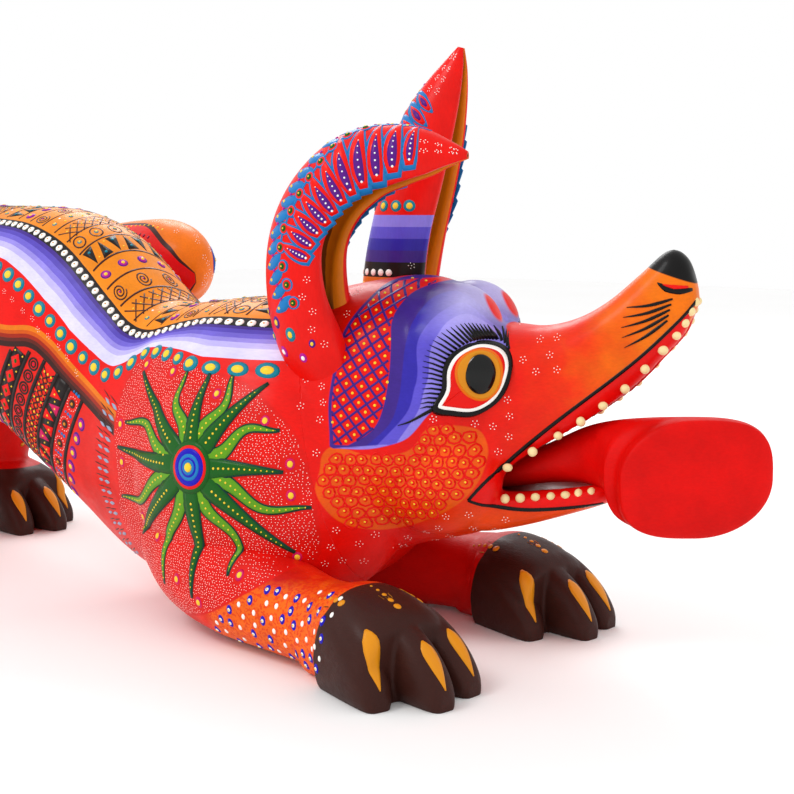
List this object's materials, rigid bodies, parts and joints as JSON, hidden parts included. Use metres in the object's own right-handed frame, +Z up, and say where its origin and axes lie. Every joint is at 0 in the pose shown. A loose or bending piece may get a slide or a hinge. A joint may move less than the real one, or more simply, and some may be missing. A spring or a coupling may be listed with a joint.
{
  "type": "carved wooden animal figure",
  "caption": "Hand-painted carved wooden coyote in a play bow, mouth open, with plug-in ears, tongue and curled tail.",
  "frame": {"origin": "middle of the figure's bounding box in plan, on the surface it stands on", "axes": "+X forward along the body toward the head, +Y to the animal's left, +Z up"},
  "size_m": [0.6107, 0.2018, 0.2912],
  "materials": {
    "painted_red": "satin acrylic paint under varnish",
    "painted_orange": "satin acrylic paint under varnish",
    "painted_legs": "satin acrylic paint, dark brown paws",
    "painted_cream": "satin acrylic paint",
    "raw_wood": "bare turned wood"
  },
  "bodies": {
    "carving": {"torso": "painted_red", "head": "painted_red", "neck_dowel": "raw_wood", "right_front_leg": "painted_legs", "left_front_leg": "painted_legs", "right_hind_leg": "painted_legs", "left_hind_leg": "painted_legs", "leg_dowels": "raw_wood", "upper_teeth": "painted_cream", "lower_teeth": "painted_cream"},
    "right_ear_part": {"right_ear": "painted_red", "right_ear_peg": "raw_wood"},
    "left_ear_part": {"left_ear": "painted_red", "left_ear_peg": "raw_wood"},
    "tongue_part": {"tongue": "painted_red", "tongue_peg": "raw_wood"},
    "tail_part": {"tail": "painted_orange", "tail_peg": "raw_wood"}
  },
  "joints": [
    {"name": "right_ear_pull", "type": "slide", "parent": "carving", "child": "right_ear_part", "axis": [-0.0249, -0.2168, 0.9759], "range_m": [0, 0.12]},
    {"name": "left_ear_pull", "type": "slide", "parent": "carving", "child": "left_ear_part", "axis": [-0.1095, 0.128, 0.9857], "range_m": [0, 0.12]},
    {"name": "tongue_pull", "type": "slide", "parent": "carving", "child": "tongue_part", "axis": [0.9214, 0.3354, 0.1961], "range_m": [0, 0.12]},
    {"name": "tail_pull", "type": "slide", "parent": "carving", "child": "tail_part", "axis": [-1, 0, 0], "range_m": [0, 0.25]}
  ]
}
